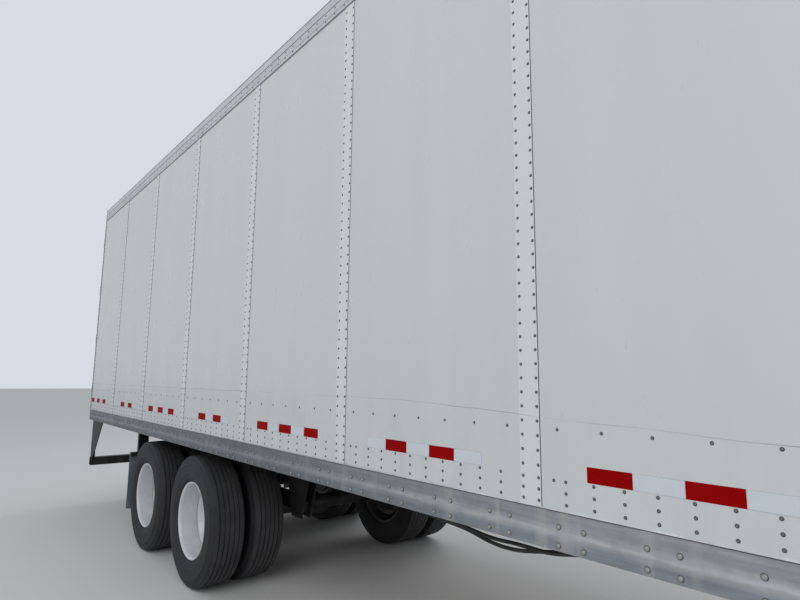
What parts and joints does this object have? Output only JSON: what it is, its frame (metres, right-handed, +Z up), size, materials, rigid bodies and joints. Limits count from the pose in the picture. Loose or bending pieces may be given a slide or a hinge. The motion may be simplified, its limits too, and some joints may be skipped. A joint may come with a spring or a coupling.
{
  "type": "enclosed box semi trailer",
  "caption": "Enclosed plate-walled box semi trailer with dual-tyre axles on a sliding undercarriage, landing legs and rear swing doors.",
  "frame": {"origin": "on the ground, below the middle of the body", "axes": "+X to the front, +Y to the left, +Z up"},
  "size_m": [16.254, 2.603, 3.988],
  "materials": {
    "tyre_rubber": "matt moulded tread rubber",
    "white_wheel_paint": "gloss white wheel enamel",
    "hub_steel": "grey-black hub and drum paint",
    "wall_skin": "smooth prefinished white skin",
    "inner_splice": "galvanised splice plate",
    "door_skin": "smooth prefinished white skin",
    "mill_aluminium": "mill finish extrusion",
    "galvanised_steel": "galvanised steel",
    "hardwood_deck": "laminated hardwood, worn",
    "black_rubber": "moulded black rubber",
    "flap_rubber": "pale blue-grey flap sheet",
    "hose_rubber": "black reinforced hose",
    "red_lens": "moulded red lens",
    "amber_lens": "moulded amber lens",
    "fitting_metal": "cast fitting",
    "black_chassis_paint": "black chassis paint"
  },
  "bodies": {
    "trailer": {"air_springs": "black_rubber", "air_tank": "black_chassis_paint", "axle_beams": "black_chassis_paint", "body_rails": "black_chassis_paint", "bottom_rails": "mill_aluminium", "brake_chambers": "black_chassis_paint", "crossmembers": "mill_aluminium", "dock_buffers": "black_rubber", "floor_deck": "hardwood_deck", "frame_hinges": "galvanised_steel", "front_corners": "mill_aluminium", "front_rails": "mill_aluminium", "front_wall": "wall_skin", "hose_fittings": "fitting_metal", "hose_lower": "hose_rubber", "hose_upper": "hose_rubber", "kingpin": "black_chassis_paint", "lamps_amber": "amber_lens", "lamps_red": "red_lens", "landing_braces": "black_chassis_paint", "landing_crank": "black_chassis_paint", "landing_feet": "black_chassis_paint", "landing_legs": "black_chassis_paint", "lock_keepers": "galvanised_steel", "mud_flaps": "flap_rubber", "rear_guard": "black_chassis_paint", "rear_header": "galvanised_steel", "rear_posts": "galvanised_steel", "rear_sill": "galvanised_steel", "roof_bows": "mill_aluminium", "roof_sheet": "mill_aluminium", "scuff_plates": "mill_aluminium", "seam_strips": "wall_skin", "service_box": "fitting_metal", "side_panels": "wall_skin", "slider_frame": "black_chassis_paint", "top_rails": "mill_aluminium", "trailing_arms": "black_chassis_paint", "upper_coupler": "black_chassis_paint", "wall_splices": "inner_splice"},
    "wheel_front_left": {"tyres_front_left": "tyre_rubber", "rims_front_left": "white_wheel_paint", "hub_front_left": "hub_steel"},
    "wheel_front_right": {"tyres_front_right": "tyre_rubber", "rims_front_right": "white_wheel_paint", "hub_front_right": "hub_steel"},
    "wheel_rear_left": {"tyres_rear_left": "tyre_rubber", "rims_rear_left": "white_wheel_paint", "hub_rear_left": "hub_steel"},
    "wheel_rear_right": {"tyres_rear_right": "tyre_rubber", "rims_rear_right": "white_wheel_paint", "hub_rear_right": "hub_steel"},
    "door_left": {"door_left_panel": "door_skin", "door_left_straps": "galvanised_steel", "door_left_rods": "galvanised_steel"},
    "door_right": {"door_right_panel": "door_skin", "door_right_straps": "galvanised_steel", "door_right_rods": "galvanised_steel"}
  },
  "joints": [
    {"name": "wheel_front_left_spin", "type": "hinge", "parent": "trailer", "child": "wheel_front_left", "pos_m": [-4.2, 0.975, 0.508], "axis": [0, 1, 0], "continuous": true},
    {"name": "wheel_front_right_spin", "type": "hinge", "parent": "trailer", "child": "wheel_front_right", "pos_m": [-4.2, -0.975, 0.508], "axis": [0, 1, 0], "continuous": true},
    {"name": "wheel_rear_left_spin", "type": "hinge", "parent": "trailer", "child": "wheel_rear_left", "pos_m": [-5.461, 0.975, 0.508], "axis": [0, 1, 0], "continuous": true},
    {"name": "wheel_rear_right_spin", "type": "hinge", "parent": "trailer", "child": "wheel_rear_right", "pos_m": [-5.461, -0.975, 0.508], "axis": [0, 1, 0], "continuous": true},
    {"name": "door_left_swing", "type": "hinge", "parent": "trailer", "child": "door_left", "pos_m": [-8.101, 1.2865, 2.4], "axis": [0, 0, -1], "range_deg": [0, 255]},
    {"name": "door_right_swing", "type": "hinge", "parent": "trailer", "child": "door_right", "pos_m": [-8.101, -1.2865, 2.4], "axis": [0, 0, 1], "range_deg": [0, 255]}
  ]
}
